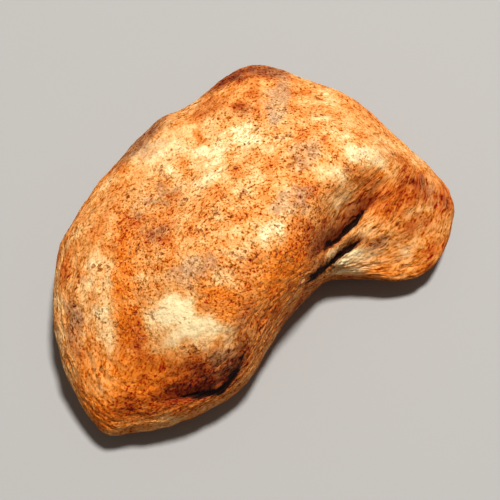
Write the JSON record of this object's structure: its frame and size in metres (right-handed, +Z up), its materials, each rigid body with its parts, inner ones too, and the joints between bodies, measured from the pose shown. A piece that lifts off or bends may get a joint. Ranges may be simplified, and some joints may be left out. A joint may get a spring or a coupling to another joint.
{
  "type": "stony meteorite",
  "caption": "Smooth, weathered, kidney-shaped stony meteorite with rust and cream patches, a folded notch on one side and a small flat spot that it rests on.",
  "frame": {"origin": "under the middle of the stone's bounding box, on the surface that it rests on", "axes": "+X along the stone's longer side, towards the lobe; +Y across it, towards the broad back; +Z up from the flat spot"},
  "size_m": [0.0442, 0.0428, 0.0169],
  "materials": {
    "weathered_stone": "matte, pitted, mottled rust orange, cream and brown-grey"
  },
  "bodies": {
    "root": {"stone": "weathered_stone"}
  },
  "joints": []
}
